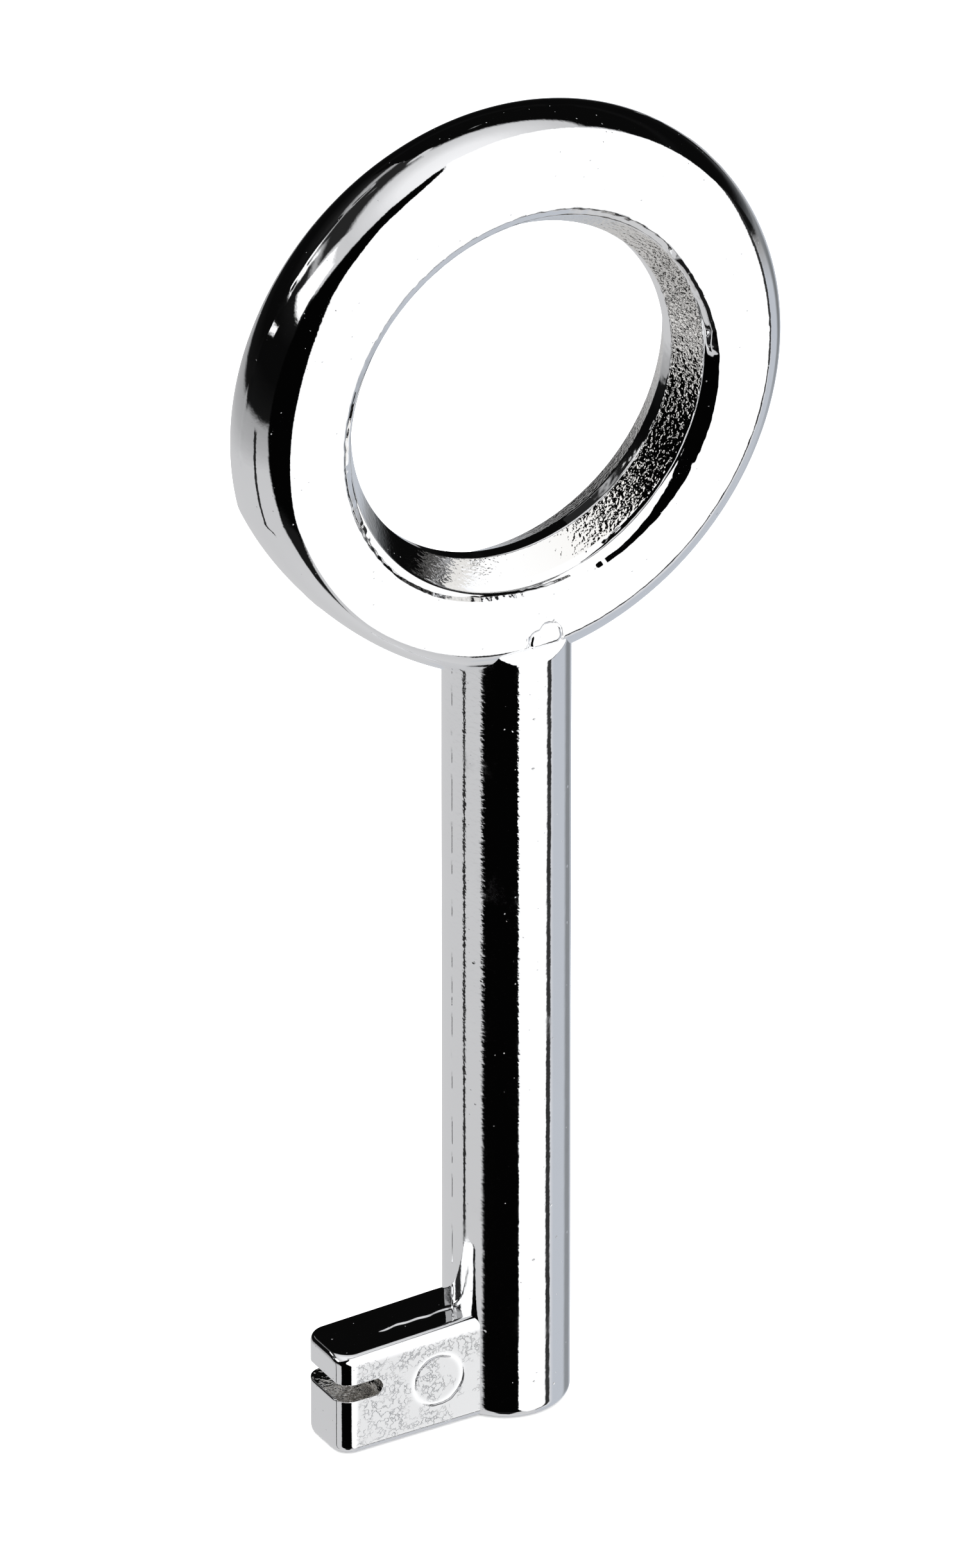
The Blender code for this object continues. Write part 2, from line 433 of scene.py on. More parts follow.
SHANK_STEPS = 380
PIPE_STEPS = 12
END_EDGE_STEPS = 10
TOP_CAP_STEPS = 4
AROUND_STEP = 2.0
SEAM_AROUND_STEP = 0.6
SEAM_HALF_BAND = 0.2 * MM

SHANK_WAVES = (0.004, 2.0, 4.0)
SHANK_FINE_WAVES = (0.0012, 0.8, 9.0)
SHANK_SEAM_HEIGHT = 0.03 * MM
SHANK_SEAM_GAP = 0.7 * MM

# Share of the scratches: least of all on the right, and on the left less towards the bit
LEAST_BURR = 0.04
LOW_BURR = 0.35
BURR_SIDE = (-0.2 * MM, -1.2 * MM)
BURR_CLIMB = (12 * MM, 26 * MM)


def neck_limit(z):
    """Half depth the shank is held to: its own radius below the neck, and just inside the bow's above."""
    start = BOW_FOOT_Z + NECK_START
    share = smoothstep(start, start + NECK_HEIGHT, z)
    return SHANK_RADIUS + (HALF_BOW + NECK_PROUD - SHANK_RADIUS) * share


def held_in(y, limit):
    """y brought softly inside plus or minus limit."""
    over = abs(y) - (limit - NECK_BLEND)
    if over <= 0:
        return y
    return math.copysign(limit - NECK_BLEND * math.exp(-over / NECK_BLEND), y)


def shank_angles():
    """Steps round the shank, closer together at the parting line on either side."""
    angles = []
    angle = 0.0
    while angle < 2 * math.pi - 1e-6:
        angles.append(angle)
        near = abs(SHANK_RADIUS * math.sin(angle) - PARTING_Y) < SEAM_HALF_BAND
        angle += math.radians(SEAM_AROUND_STEP if near else AROUND_STEP)
    return angles


def ring_row(radius, z, limit=SHANK_RADIUS):
    """A loop round the shank at height z. Its depth is held to limit, fully from a quarter of the way."""
    flattened = min(NECK_ONSET * (SHANK_RADIUS - limit) / (SHANK_RADIUS - HALF_BOW), 1)
    row = []
    for angle in shank_angles():
        y = radius * math.sin(angle)
        y += (held_in(y, limit) - y) * flattened
        row.append((radius * math.cos(angle), y, z))
    return row


def make_shank():
    """From the pipe's closed end out over its mouth, round the end's edge and up to the cap in the bow."""
    top = BOW_FOOT_Z + SHANK_OVERLAP
    rows = [ring_row(PIPE_RADIUS * PIPE_TIP_SHARE, PIPE_DEPTH + PIPE_TIP)]
    rows += [ring_row(PIPE_RADIUS, PIPE_DEPTH * (1 - i / PIPE_STEPS)) for i in range(PIPE_STEPS)]
    rows += [ring_row(PIPE_RADIUS, PIPE_MOUTH), ring_row(PIPE_RADIUS + PIPE_MOUTH, 0)]
    edge_centre = (SHANK_RADIUS - SHANK_END_EDGE, SHANK_END_EDGE)
    edge = arc(edge_centre, SHANK_END_EDGE, -math.pi / 2, 0, END_EDGE_STEPS)
    rows += [ring_row(r, z) for r, z in edge]
    for i in range(1, SHANK_STEPS + 1):
        z = SHANK_END_EDGE + (top - SHANK_END_EDGE) * i / SHANK_STEPS
        rows.append(ring_row(SHANK_RADIUS, z, neck_limit(z)))
    for i in range(1, TOP_CAP_STEPS):
        rows.append(ring_row(SHANK_RADIUS * (1 - i / TOP_CAP_STEPS), top, neck_limit(top)))
    shank = skin("key_shank", rows, ring=False)
    mark(shank, "burr", shank_burr)
    relief(shank, shank_height)
    return shank


def shank_burr(co, no):
    """Fine scratches, deepest on the left of the shank and towards the bow."""
    left = smoothstep(*BURR_SIDE, co.x)
    high = LOW_BURR + (1 - LOW_BURR) * smoothstep(*BURR_CLIMB, co.z)
    return LEAST_BURR + (1 - LEAST_BURR) * left * high


def shank_height(co, no):
    height = waves((co.x, co.y, co.z * 0.5), SHANK_WAVES) + waves(co, SHANK_FINE_WAVES)
    if abs(no.x) > 0.9 and math.hypot(co.x, co.y) > 0.8 * SHANK_RADIUS:
        height += seam(co, SHANK_SEAM_HEIGHT, SHANK_SEAM_GAP, 2.2, -0.2)
    return height


# ---------------------------------------------------------------- bit

BIT_CORNER = 0.84 * MM
BIT_EDGE = 0.4 * MM
EDGE_WIDE = 1.2
EDGE_TIGHT = 0.45
BIT_END_DROP = 0.2 * MM
BIT_OVERLAP_X = -2.2 * MM

# Ward slot
SLOT_LOW = 2.9 * MM
SLOT_HIGH = 3.8 * MM
SLOT_DEPTH = 2.0 * MM
SLOT_LIP = 0.1 * MM
SLOT_TOP = SLOT_HIGH + SLOT_LIP
SLOT_ROOT_HOLLOW = 0.12
SLOT_ROOT_WOBBLE = (0.06, 0.5, 6.0)
SLOT_MARGIN = 0.01 * MM
SLOT_REACH = 0.4 * MM

SIDE_STEPS = 96
CORNER_STEPS = 14
END_STEPS = 14
CAP_STEPS = 26
EDGE_STEPS = 8
LOWER_STEPS = 36
UPPER_STEPS = 28
SLOT_LIP_STEPS = 4
SLOT_FLOOR_STEPS = 16
SLOT_ROOT_STEPS = 12

# Surface
BIT_WAVES = ((0.003, 1.6, 8.0), (0.001, 0.5, 2.0))
EJECTOR_X = -4.73 * MM
EJECTOR_Z = 2.8 * MM
EJECTOR_RADIUS = 1.3 * MM
EJECTOR_HEIGHT = 0.03 * MM
EJECTOR_WIDTH = 0.11 * MM
EJECTOR_WOBBLE = (0.05, 0.4, 0.0)
FLASH_HEIGHT = 0.045 * MM
FLASH_WIDTH = 0.1 * MM
FLASH_Y = PARTING_Y - 0.06 * MM
FLASH_WOBBLE = (0.1, 0.8, 3.0)
FLASH_START = (-7.6 * MM, -6.4 * MM)
FLASH_END = (-2.9 * MM, -3.3 * MM)

# Clean margins of the blotched faces, and how soon the blotches begin
MARGIN_BOTTOM = 0.25 * MM
MARGIN_TOP = 0.5 * MM
MARGIN_END = 0.75 * MM
MARGIN_FADE = 0.25 * MM
EJECTOR_CLEAN_WIDTH = 0.14 * MM


def bit_plan():
    """Plan outline of the bit, front side from the shank to the end, then the back side."""
    centre_x = BIT_END_X + BIT_CORNER
    centre_y = HALF_BIT - BIT_CORNER
    half = line((BIT_OVERLAP_X, -HALF_BIT), (centre_x, -HALF_BIT), SIDE_STEPS)
    half += arc((centre_x, -centre_y), BIT_CORNER, 1.5 * math.pi, math.pi, CORNER_STEPS)[:-1]
    half += line((BIT_END_X, -centre_y), (BIT_END_X, 0), END_STEPS)
    return half + [(BIT_END_X, 0)] + [(x, -y) for x, y in reversed(half)]


def bit_drop(x):
    """How far the bit's top has come down, from the shank to its end."""
    share = min(max((x + SHANK_RADIUS) / (BIT_END_X + SHANK_RADIUS), 0.0), 1.0)
    return BIT_END_DROP * share


def slot_root(y):
    """Where the ward slot ends, ragged along the thickness."""
    return BIT_END_X + SLOT_DEPTH + waves((y, 0.0, 0.0), SLOT_ROOT_WOBBLE)


def shrink(plan, amount):
    """The plan drawn together on to its middle line, by amount from 0 to 1."""
    points = []
    for x, y in plan:
        inner = min(max(x, BIT_END_X + HALF_BIT), BIT_OVERLAP_X)
        points.append((x + (inner - x) * amount, y * (1 - amount)))
    return points


def edge_inset(plan, distance):
    """The plan pulled in by a distance, for the edges: rounded in front, tighter at the end and the back."""
    points = []
    for (x, y), (inner_x, inner_y) in zip(plan, shrink(plan, distance / HALF_BIT)):
        front = smoothstep(0.3, 0.98, -y / HALF_BIT)
        share = EDGE_TIGHT + (EDGE_WIDE - EDGE_TIGHT) * front
        points.append((x + (inner_x - x) * share, y + (inner_y - y) * share))
    return points


def slot_plan(plan, share):
    """The plan with its end drawn back towards the slot's root, by share from 0 to 1."""
    points = []
    for x, y in plan:
        limit = BIT_END_X + (slot_root(y) - BIT_END_X) * share
        points.append((max(x, limit), y))
    return points


def bit_outlines():
    """(plan, height) of every row, from the middle of the underside to the middle of the top."""
    plan = bit_plan()
    cap = edge_inset(plan, BIT_EDGE)
    quarter = [math.pi / 2 * i / EDGE_STEPS for i in range(EDGE_STEPS + 1)]
    slot_bottom = SLOT_LOW - SLOT_LIP
    edge_top = BIT_TOP_Z - BIT_EDGE
    for i in range(CAP_STEPS):
        yield shrink(cap, 1 - i / CAP_STEPS), 0
    for turn in quarter[:-1]:
        yield edge_inset(plan, BIT_EDGE * (1 - math.sin(turn))), BIT_EDGE * (1 - math.cos(turn))
    for i in range(LOWER_STEPS):
        yield plan, BIT_EDGE + (slot_bottom - BIT_EDGE) * i / LOWER_STEPS
    yield from slot_outlines(plan)
    for i in range(1, UPPER_STEPS + 1):
        yield plan, SLOT_TOP + (edge_top - SLOT_TOP) * i / UPPER_STEPS
    for turn in quarter[1:]:
        yield edge_inset(plan, BIT_EDGE * (1 - math.cos(turn))), edge_top + BIT_EDGE * math.sin(turn)
    for i in range(1, CAP_STEPS + 1):
        yield shrink(cap, i / CAP_STEPS), BIT_TOP_Z


def slot_outlines(plan):
    """Rows over the slot's rounded lower lip, its floor, its root and back out under the upper lip."""
    lip = SLOT_LIP / SLOT_DEPTH
    quarter = [math.pi / 2 * i / SLOT_LIP_STEPS for i in range(SLOT_LIP_STEPS + 1)]
    for turn in quarter:
        yield slot_plan(plan, lip * (1 - math.cos(turn))), SLOT_LOW - SLOT_LIP * (1 - math.sin(turn))
    for i in range(1, SLOT_FLOOR_STEPS + 1):
        yield slot_plan(plan, lip + (1 - lip) * i / SLOT_FLOOR_STEPS), SLOT_LOW
    for i in range(1, SLOT_ROOT_STEPS):
        share = i / SLOT_ROOT_STEPS
        bulge = 1 + SLOT_ROOT_HOLLOW * (1 - (2 * share - 1) ** 2)
        yield slot_plan(plan, bulge), SLOT_LOW + (SLOT_HIGH - SLOT_LOW) * share
    for i in range(SLOT_FLOOR_STEPS + 1):
        yield slot_plan(plan, 1 - (1 - lip) * i / SLOT_FLOOR_STEPS), SLOT_HIGH
    for turn in quarter[1:]:
        yield slot_plan(plan, lip * (1 - math.sin(turn))), SLOT_HIGH + SLOT_LIP * (1 - math.cos(turn))


def make_bit():
    rows = []
    for points, z in bit_outlines():
        share = max(z - SLOT_TOP, 0) / (BIT_TOP_Z - SLOT_TOP)
        rows.append([(x, y, z - bit_drop(x) * share) for x, y in points])
    bit = skin("key_bit", rows, ring=False)
    mark(bit, "grain", slot_grain)
    mark(bit, "mottle", face_mottle)
    relief(bit, bit_height)
    return bit


def slot_grain(co, no):
    """The ward slot is left as cast."""
    inside = SLOT_LOW - SLOT_MARGIN < co.z < SLOT_HIGH + SLOT_MARGIN
    inside = inside and BIT_END_X + SLOT_LIP < co.x < BIT_END_X + SLOT_DEPTH + SLOT_REACH
    return 1.0 if inside and abs(co.y) < HALF_BIT - 0.05 * MM else 0.0


def ejector_offset(co):
    """Distance outside the middle of the ejector's ring."""
    return math.hypot(co.x - EJECTOR_X, co.z - EJECTOR_Z) - EJECTOR_RADIUS


def face_mottle(co, no):
    """The flat faces are blotched, except along a clean margin at their edges."""
    if abs(no.y) < 0.9:
        return 0.0
    margin = min(co.z - MARGIN_BOTTOM, BIT_TOP_Z - MARGIN_TOP - co.z, co.x - BIT_END_X - MARGIN_END)
    return smoothstep(0, MARGIN_FADE, margin) * (1 - bump_at(ejector_offset(co), EJECTOR_CLEAN_WIDTH))


def bit_height(co, no):
    """Waves, the raised ring of an ejector pin in front, and a line of flash over the top."""
    height = waves(co, *BIT_WAVES)
    if no.y < -0.9:
        height += EJECTOR_HEIGHT * bump_at(ejector_offset(co) + waves(co, EJECTOR_WOBBLE), EJECTOR_WIDTH)
    if no.z > 0.9 and co.z > 0.9 * BIT_TOP_Z:
        run = smoothstep(*FLASH_START, co.x) * smoothstep(*FLASH_END, co.x)
        centre = FLASH_Y + waves((co.x, 0, 0), FLASH_WOBBLE)
        height += FLASH_HEIGHT * run * bump_at(co.y - centre, FLASH_WIDTH)
    return height


# ---------------------------------------------------------------- materials

CHROME_COLOUR = (0.93, 0.935, 0.945)
PIT_COLOUR = (0.30, 0.29, 0.28)
GRAIN_COLOUR = (0.80, 0.785, 0.76)
TONE_SIZE = 4.0 * MM
TONE_DIP = 0.965

# Plate: slow ripples, drawn streaks, sunk pits, raised dust, and a bloom that roughens it in patches
PEEL_SIZE = 0.55 * MM
PEEL_DEPTH = 0.0030 * MM
STREAK_SIZE = 0.12 * MM
STREAK_DEPTH = 0.0006 * MM
PIT_SPACING = 1.1 * MM
PIT_RADIUS = 0.09 * MM
PIT_DEPTH = -0.02 * MM
PIT_DIRT = 0.5
DUST_SPACING = 0.38 * MM
DUST_RADIUS = 0.035 * MM
DUST_HEIGHT = 0.02 * MM
DUST_RARITY = 0.72
BLOOM_SIZE = 2.6 * MM
LEAST_ROUGH = 0.02

# Cast grain in the bore and the slot
GRIT_SIZE = 0.19 * MM
GRIT_DEPTH = 0.024 * MM
GRIT_ROUGH = 0.03

# Shank
SCUFF_SIZE = 1.8 * MM
SCUFF_ROUGH = 0.12
BURR_SIZE = 0.20 * MM
BURR_DEPTH = 0.007 * MM

# Blotches on the bit's faces
VEIN_SIZE = 0.36 * MM
VEIN_HALF_WIDTH = 0.035
VEIN_DEPTH = -0.010 * MM
VEIN_SHARE = 0.8
VEIN_SHADE = 0.50
PATCH_SIZE = 1.1 * MM
MOTTLE_SHADE = 0.76
MOTTLE_ROUGH = 0.10


def math_node(tree, operation, *values):
    node = tree.nodes.new("ShaderNodeMath")
    node.operation = operation
    for socket, value in zip(node.inputs, values):
        if isinstance(value, (int, float)):
            socket.default_value = value
        else:
            tree.links.new(value, socket)
    return node.outputs[0]


def mix_colour(tree, share, first, second):
    node = tree.nodes.new("ShaderNodeMix")
    node.data_type = "RGBA"
    for name, value in (("Factor_Float", share), ("A_Color", first), ("B_Color", second)):
        socket = next(i for i in node.inputs if i.identifier == name)
        if isinstance(value, tuple):
            socket.default_value = (*value, 1.0)
        elif isinstance(value, (int, float)):
            socket.default_value = value
        else:
            tree.links.new(value, socket)
    return next(o for o in node.outputs if o.identifier == "Result_Color")


def remap(tree, value, low, high, to_low=0.0, to_high=1.0):
    node = tree.nodes.new("ShaderNodeMapRange")
    tree.links.new(value, node.inputs["Value"])
    node.inputs["From Min"].default_value = low
    node.inputs["From Max"].default_value = high
    node.inputs["To Min"].default_value = to_low
    node.inputs["To Max"].default_value = to_high
    return node.outputs["Result"]


def shaded(colour, share):
    return tuple(c * share for c in colour)


def noise_node(tree, coords, size, detail=2.0, rough=0.5, squeeze=(1, 1, 1)):
    """Smooth noise from 0 to 1 with features about size across, drawn out along an axis by squeeze."""
    mapping = tree.nodes.new("ShaderNodeMapping")
    tree.links.new(coords, mapping.inputs["Vector"])
    mapping.inputs["Scale"].default_value = [k / size for k in squeeze]
    node = tree.nodes.new("ShaderNodeTexNoise")
    tree.links.new(mapping.outputs[0], node.inputs["Vector"])
    node.inputs["Scale"].default_value = 1.0
    node.inputs["Detail"].default_value = detail
    node.inputs["Roughness"].default_value = rough
    return node.outputs["Fac"]


def pit_node(tree, coords, spacing, radius, rarity):
    """Scattered round spots, 1 in a spot's middle; rarity is the share of places left without one."""
    mapping = tree.nodes.new("ShaderNodeMapping")
    tree.links.new(coords, mapping.inputs["Vector"])
    mapping.inputs["Scale"].default_value = (1 / spacing,) * 3
    cells = tree.nodes.new("ShaderNodeTexVoronoi")
    tree.links.new(mapping.outputs[0], cells.inputs["Vector"])
    cells.inputs["Scale"].default_value = 1.0
    near = remap(tree, cells.outputs["Distance"], radius / spacing, 0.0)
    chosen = tree.nodes.new("ShaderNodeSeparateXYZ")
    tree.links.new(cells.outputs["Color"], chosen.inputs[0])
    kept = remap(tree, chosen.outputs[0], rarity, rarity + 0.02)
    return math_node(tree, "MULTIPLY", near, kept)


def add_bump(tree, height, normal, depth):
    """Bump by height, 0 to 1, times depth in metres, over the normal given."""
    bump = tree.nodes.new("ShaderNodeBump")
    bump.inputs["Strength"].default_value = 1.0
    bump.inputs["Distance"].default_value = depth
    tree.links.new(height, bump.inputs["Height"])
    if normal is not None:
        tree.links.new(normal, bump.inputs["Normal"])
    return bump.outputs["Normal"]


def mask_node(tree, name):
    node = tree.nodes.new("ShaderNodeAttribute")
    node.attribute_name = name
    return node.outputs["Fac"]


def finish_shader(tree, shader, colour, rough, normal):
    tree.links.new(colour, shader.inputs["Base Color"])
    tree.links.new(rough, shader.inputs["Roughness"])
    tree.links.new(normal, shader.inputs["Normal"])


def chrome(name, streak, haze, rarity):
    """A chrome material, and its tree, shader, coordinates, colour, roughness and normal to build on."""
    material = bpy.data.materials.new(name)
    material.use_nodes = True
    tree = material.node_tree
    shader = tree.nodes["Principled BSDF"]
    shader.inputs["Metallic"].default_value = 1.0
    coords = tree.nodes.new("ShaderNodeTexCoord").outputs["Object"]

    peel = noise_node(tree, coords, PEEL_SIZE)
    streaks = noise_node(tree, coords, STREAK_SIZE, 1.0, 0.4, streak)
    pits = pit_node(tree, coords, PIT_SPACING, PIT_RADIUS, rarity)
    dust = pit_node(tree, coords, DUST_SPACING, DUST_RADIUS, DUST_RARITY)
    normal = add_bump(tree, peel, None, PEEL_DEPTH)
    normal = add_bump(tree, streaks, normal, STREAK_DEPTH)
    normal = add_bump(tree, pits, normal, PIT_DEPTH)
    normal = add_bump(tree, dust, normal, DUST_HEIGHT)
    bloom = noise_node(tree, coords, BLOOM_SIZE, 3.0)
    rough = remap(tree, bloom, 0.35, 0.75, LEAST_ROUGH, LEAST_ROUGH + haze)
    dirt = math_node(tree, "MULTIPLY", pits, PIT_DIRT)
    drift = noise_node(tree, coords, TONE_SIZE)
    tone = mix_colour(tree, drift, CHROME_COLOUR, shaded(CHROME_COLOUR, TONE_DIP))
    colour = mix_colour(tree, dirt, tone, PIT_COLOUR)
    return material, tree, shader, coords, colour, rough, normal


def add_grain(tree, coords, colour, rough, normal):
    """Unpolished cast grain under the plate wherever the grain mask says."""
    mask = mask_node(tree, "grain")
    grit = remap(tree, noise_node(tree, coords, GRIT_SIZE, 1.0, 0.5), 0.3, 0.7)
    height = math_node(tree, "MULTIPLY", grit, mask)
    colour = mix_colour(tree, mask, colour, GRAIN_COLOUR)
    rough = math_node(tree, "MULTIPLY_ADD", mask, GRIT_ROUGH, rough)
    return colour, rough, add_bump(tree, height, normal, GRIT_DEPTH)


def bow_chrome():
    material, tree, shader, coords, colour, rough, normal = chrome("bow_chrome", (1, 1, 1), 0.03, 0.92)
    finish_shader(tree, shader, *add_grain(tree, coords, colour, rough, normal))
    return material


def shank_chrome():
    """Streaks run along the shank, with a few dull scuffs, and fine scratches across its left."""
    material, tree, shader, coords, colour, rough, normal = chrome("shank_chrome", (1, 1, 0.03), 0.05, 0.55)
    scuffs = noise_node(tree, coords, SCUFF_SIZE, 4.0, 0.65, (1, 1, 0.6))
    rubbed = remap(tree, scuffs, 0.60, 0.74, 0.0, SCUFF_ROUGH)
    burr = noise_node(tree, coords, BURR_SIZE, 2.0, 0.5, (0.7, 0.7, 1))
    height = math_node(tree, "MULTIPLY", burr, mask_node(tree, "burr"))
    bumped = add_bump(tree, height, normal, BURR_DEPTH)
    finish_shader(tree, shader, colour, math_node(tree, "ADD", rough, rubbed), bumped)
    return material


def bit_chrome():
    """Blotched flat faces and a grainy slot."""
    material, tree, shader, coords, colour, rough, normal = chrome("bit_chrome", (1, 1, 1), 0.04, 0.55)
    colour, rough, normal = add_grain(tree, coords, colour, rough, normal)
    mask = mask_node(tree, "mottle")
    veins = noise_node(tree, coords, VEIN_SIZE, 3.0, 0.6)
    away = math_node(tree, "ABSOLUTE", math_node(tree, "SUBTRACT", veins, 0.5))
    patches = remap(tree, noise_node(tree, coords, PATCH_SIZE, 2.0), 0.42, 0.58)
    vein = math_node(tree, "MULTIPLY", remap(tree, away, VEIN_HALF_WIDTH, 0.0), patches)
    height = math_node(tree, "MULTIPLY", vein, mask)
    hazy = mix_colour(tree, mask, colour, shaded(CHROME_COLOUR, MOTTLE_SHADE))
    veined = math_node(tree, "MULTIPLY", height, VEIN_SHARE)
    colour = mix_colour(tree, veined, hazy, shaded(CHROME_COLOUR, VEIN_SHADE))
    rough = math_node(tree, "MULTIPLY_ADD", mask, MOTTLE_ROUGH, rough)
    finish_shader(tree, shader, colour, rough, add_bump(tree, height, normal, VEIN_DEPTH))
    return material


# ---------------------------------------------------------------- studio

# Directions in the room are (azimuth, elevation) in degrees: azimuth 0 is in front of the key, along -Y, and
# 90 is along +X. Brightness 1 is plain white.

# (elevation, brightness) of the bare room
CEILING_AND_FLOOR = (
    (-90, 0.68), (-55, 0.62), (-36, 0.62), (-29, 0.61), (-22, 0.44), (-15, 0.36), (-12.5, 0.008), (0, 0.003),
    (12, 0.003), (22, 0.008), (29, 0.02), (34, 0.66), (50, 0.62), (60, 0.72), (72, 0.92), (90, 1.0),
)
CEILING_TINT = 1.01

# Zones that are painted over it. The blue-white floor on the right, with a glow and a shade
BLUE_FLOOR = ((46, -62), (152, -62), (152, -19), (46, -19))
FLOOR_GLOW = ((40, -50), (58, -44), (58, -22), (40, -22))
FLOOR_SHADE = ((100, -34), (124, -34), (124, -12), (100, -12))

# Dark behind, and three boxes on the left that light the bow's rim
BACK_DIM = ((-184, 34), (-118, 34), (-118, 50), (-150, 52), (-184, 52))
SIDE_BOX = ((-120, 24), (-90, 21), (-88, 42), (-112, 45))
SIDE_STRIP = ((-147, 31), (-138, 17), (-131, 18), (-134, 32))
SIDE_SPOT = ((-130, 7), (-123, 9), (-122, 12), (-129, 10))

# Black flags on the right and behind, in front on the left, and below
RIGHT_FLAG = ((86, 18), (184, 18), (184, 50), (140, 50), (94, 44))
FRONT_FLAG = (
    (-30, 88), (-52, 84), (-68, 66), (-78, 45), (-86, 28), (-84, -15), (-76, -29), (-54, -46),
    (-14, -50), (0, -40), (4, 60), (-16, 86),
)
LOW_FLAG = ((-54, -40), (-50, -68), (-18, -71), (-8, -42))

# A dark post on the left, and the front box with its dark edge, which the bow's and the bit's faces mirror
LEFT_LINE = ((-114, -60), (-108.5, -60), (-108.5, -17), (-114, -17))
FRONT_BOX_EDGE = ((30, -44), (34.5, -48.5), (88, -2.5), (82, 3))
FRONT_BOX = (
    (-41, 60), (-44, 30), (-39, 2), (-27, -17), (-6, -33), (8, -54), (30, -42), (45, -31),
    (83, -2), (87, 20), (90, 45), (94, 90), (-8, 90), (-20, 76),
)

# (zone, width of its soft edge in degrees, paint), each painted over the ones before it
ROOM = (
    (BLUE_FLOOR, 8, (0.54, 0.57, 0.62)),
    (FLOOR_GLOW, 14, (0.78, 0.78, 0.80)),
    (FLOOR_SHADE, 16, (0.20, 0.21, 0.22)),
    (BACK_DIM, 6, (0.02, 0.02, 0.02)),
    (SIDE_BOX, 3, (1.3, 1.3, 1.3)),
    (SIDE_STRIP, 3, (1.3, 1.3, 1.3)),
    (SIDE_SPOT, 2, (1.2, 1.2, 1.2)),
    (RIGHT_FLAG, 4, (0.003, 0.003, 0.003)),
    (FRONT_FLAG, 4, (0.001, 0.001, 0.001)),
    (LOW_FLAG, 8, (0.01, 0.01, 0.01)),
    (LEFT_LINE, 1.5, (0.02, 0.02, 0.02)),
    (FRONT_BOX_EDGE, 1, (0.03, 0.03, 0.03)),
    (FRONT_BOX, 1.6, (1.14, 1.14, 1.14)),
)
PLAIN_WHITE = (2.2, 2.2, 2.2)

FLOOR_HALF = 6.0
FLOOR_COLOUR = (0.92, 0.92, 0.92, 1.0)
LIGHT_HEIGHT = 0.9
LIGHT_SIZE = 1.2
LIGHT_WATTS = 6.0


def room_direction(tree):
    """Where a ray goes, as the vector (azimuth, elevation, 1) in degrees."""
    coords = tree.nodes.new("ShaderNodeTexCoord")
    parts = tree.nodes.new("ShaderNodeSeparateXYZ")
    tree.links.new(coords.outputs["Generated"], parts.inputs[0])
    forward = math_node(tree, "MULTIPLY", parts.outputs[1], -1.0)
    azimuth = math_node(tree, "ARCTAN2", parts.outputs[0], forward)
    elevation = math_node(tree, "ARCSINE", parts.outputs[2])
    joined = tree.nodes.new("ShaderNodeCombineXYZ")
    tree.links.new(math_node(tree, "DEGREES", azimuth), joined.inputs[0])
    tree.links.new(math_node(tree, "DEGREES", elevation), joined.inputs[1])
    joined.inputs[2].default_value = 1.0
    return joined.outputs[0]


def zone_mask(tree, direction, corners, soft):
    """1 on the inner side of every edge of a patch, its corners given anticlockwise, and 0 elsewhere."""
    inside = None
    for (a0, e0), (a1, e1) in zip(corners, corners[1:] + corners[:1]):
        length = math.hypot(a1 - a0, e1 - e0)
        normal = ((e0 - e1) / length, (a1 - a0) / length)
        edge = tree.nodes.new("ShaderNodeVectorMath")
        edge.operation = "DOT_PRODUCT"
        tree.links.new(direction, edge.inputs[0])
        edge.inputs[1].default_value = (*normal, -(normal[0] * a0 + normal[1] * e0))
        distance = edge.outputs["Value"]
        inside = distance if inside is None else math_node(tree, "MINIMUM", inside, distance)
    spread = tree.nodes.new("ShaderNodeMapRange")
    spread.interpolation_type = "SMOOTHSTEP"
    tree.links.new(inside, spread.inputs["Value"])
    spread.inputs["From Min"].default_value = -soft / 2
    spread.inputs["From Max"].default_value = soft / 2
    return spread.outputs["Result"]


def elevation_ramp(tree, direction):
    """The bare room's colour at a direction."""
    parts = tree.nodes.new("ShaderNodeSeparateXYZ")
    tree.links.new(direction, parts.inputs[0])
    ramp = tree.nodes.new("ShaderNodeValToRGB")
    tree.links.new(remap(tree, parts.outputs[1], -90, 90), ramp.inputs[0])
    stops = ramp.color_ramp.elements
    while len(stops) > 1:
        stops.remove(stops[-1])
    for i, (elevation, value) in enumerate(CEILING_AND_FLOOR):
        place = (elevation + 90) / 180
        stop = stops[0] if i == 0 else stops.new(place)
        stop.position = place
        stop.color = (value, value, value * CEILING_TINT, 1.0)
    return ramp.outputs[0]


def make_room():
    """What the chrome reflects: soft boxes and dark flags round the key. Everything else sees plain white."""
    world = bpy.data.worlds.new("studio")
    bpy.context.scene.world = world
    world.use_nodes = True
    world.cycles.sampling_method = "NONE"
    tree = world.node_tree
    tree.nodes.clear()
    direction = room_direction(tree)
    colour = elevation_ramp(tree, direction)
    for corners, soft, paint in ROOM:
        colour = mix_colour(tree, zone_mask(tree, direction, corners, soft), colour, paint)
    path = tree.nodes.new("ShaderNodeLightPath")
    seen = mix_colour(tree, path.outputs["Is Glossy Ray"], PLAIN_WHITE, colour)
    background = tree.nodes.new("ShaderNodeBackground")
    tree.links.new(seen, background.inputs["Color"])
    output = tree.nodes.new("ShaderNodeOutputWorld")
    tree.links.new(background.outputs[0], output.inputs["Surface"])


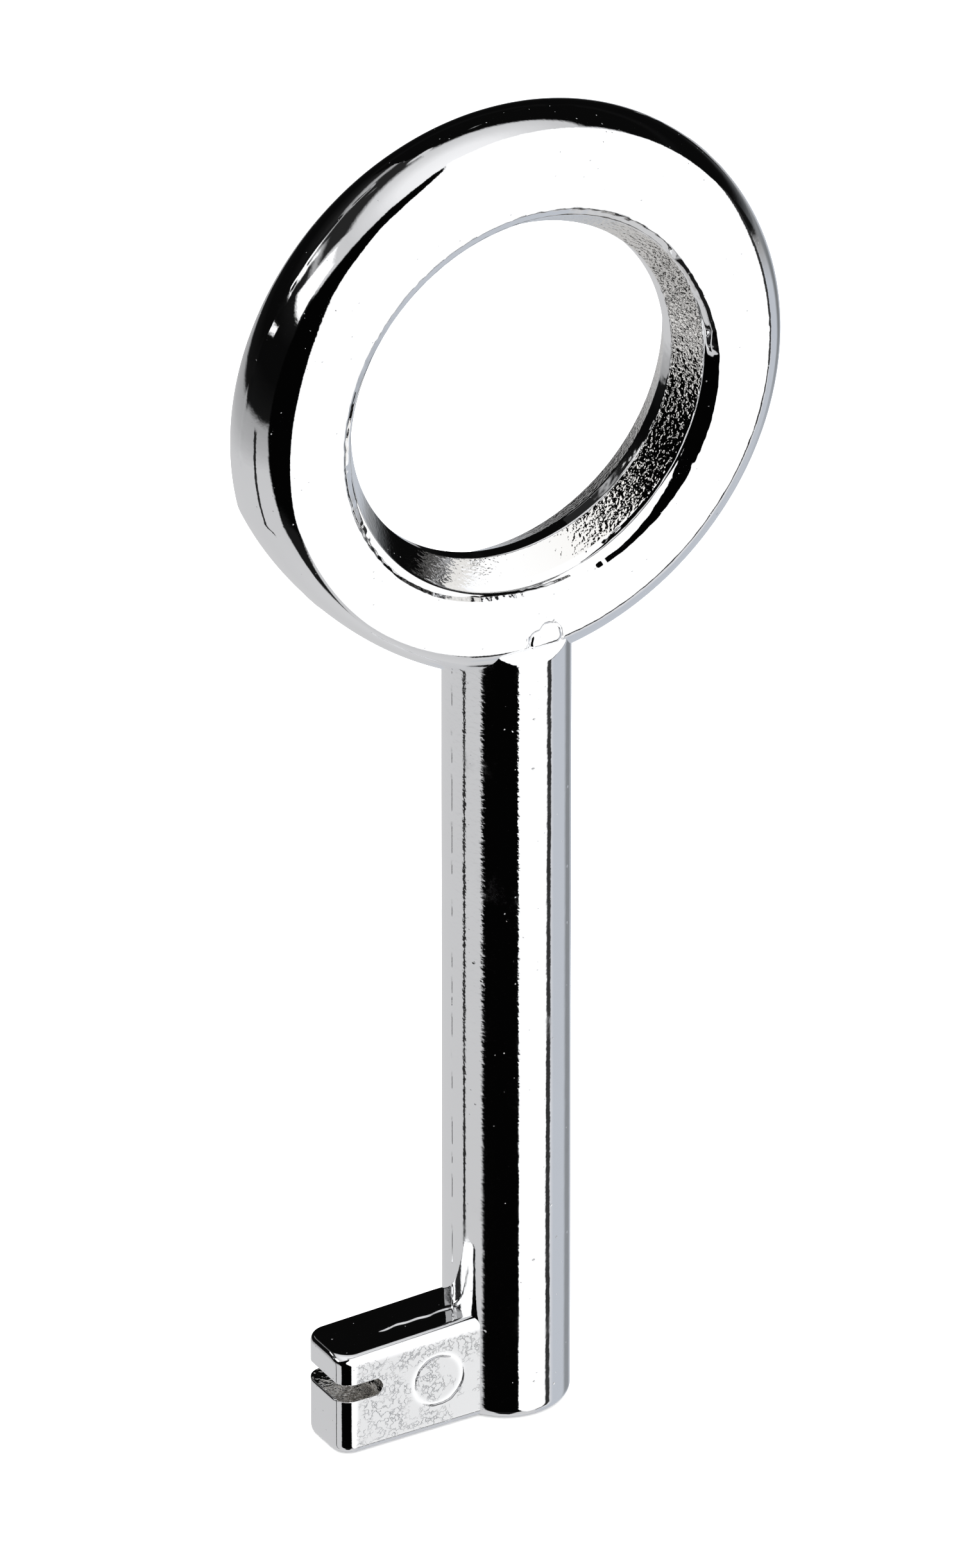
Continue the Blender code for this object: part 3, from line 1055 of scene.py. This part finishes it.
def make_floor():
    """A plain white sheet that the chrome doesn't mirror, so that only the room shapes its reflections."""
    mesh = bpy.data.meshes.new("floor")
    corners = [(-FLOOR_HALF, -FLOOR_HALF, 0), (FLOOR_HALF, -FLOOR_HALF, 0)]
    corners += [(FLOOR_HALF, FLOOR_HALF, 0), (-FLOOR_HALF, FLOOR_HALF, 0)]
    mesh.from_pydata(corners, [], [(0, 1, 2, 3)])
    floor = bpy.data.objects.new("floor", mesh)
    floor.visible_glossy = False
    bpy.context.scene.collection.objects.link(floor)
    paper = bpy.data.materials.new("white_paper")
    paper.use_nodes = True
    shader = paper.node_tree.nodes["Principled BSDF"]
    shader.inputs["Base Color"].default_value = FLOOR_COLOUR
    shader.inputs["Roughness"].default_value = 0.9
    shader.inputs["Specular IOR Level"].default_value = 0.0
    mesh.materials.append(paper)


def make_light():
    """One wide overhead lamp for the floor; the chrome's own lights are the room's soft boxes."""
    data = bpy.data.lights.new("overhead", "AREA")
    data.size = LIGHT_SIZE
    data.energy = LIGHT_WATTS
    lamp = bpy.data.objects.new("overhead", data)
    lamp.location = (0, 0, LIGHT_HEIGHT)
    lamp.visible_glossy = False
    lamp.visible_camera = False
    bpy.context.scene.collection.objects.link(lamp)


# ---------------------------------------------------------------- camera

VIEW_AZIMUTH = math.radians(-30.3)
VIEW_ELEVATION = math.radians(29.6)
CAMERA_DISTANCE = 1.0
LENS_MM = 498.0
SENSOR_MM = 36.0
AIM_POINT = Vector((0, 0, 33.0 * MM))
AIM_RIGHT = -0.985 * MM
AIM_UP = -0.444 * MM


def make_camera():
    """The photo's viewing angle, from well back."""
    a, e = VIEW_AZIMUTH, VIEW_ELEVATION
    back = Vector((math.sin(a) * math.cos(e), -math.cos(a) * math.cos(e), math.sin(e)))
    right = Vector((math.cos(a), math.sin(a), 0))
    up = back.cross(right)
    data = bpy.data.cameras.new("camera")
    data.lens = LENS_MM
    data.sensor_width = SENSOR_MM
    data.clip_start = 0.01
    data.clip_end = 10.0
    camera = bpy.data.objects.new("camera", data)
    bpy.context.scene.collection.objects.link(camera)
    camera.rotation_mode = "QUATERNION"
    camera.rotation_quaternion = (-back).to_track_quat("-Z", "Y")
    camera.location = AIM_POINT + right * AIM_RIGHT + up * AIM_UP + back * CAMERA_DISTANCE
    bpy.context.scene.camera = camera


bpy.context.scene.view_settings.view_transform = "Standard"
make_camera()
make_room()
make_floor()
make_light()
bow, shank, bit = make_bow(), make_shank(), make_bit()
sections = ((bow, "bow", bow_chrome), (shank, "shank", shank_chrome), (bit, "bit", bit_chrome))
for piece, node, plate in sections:
    piece.data.materials.append(plate())
    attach(piece, "root")
    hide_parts(node)
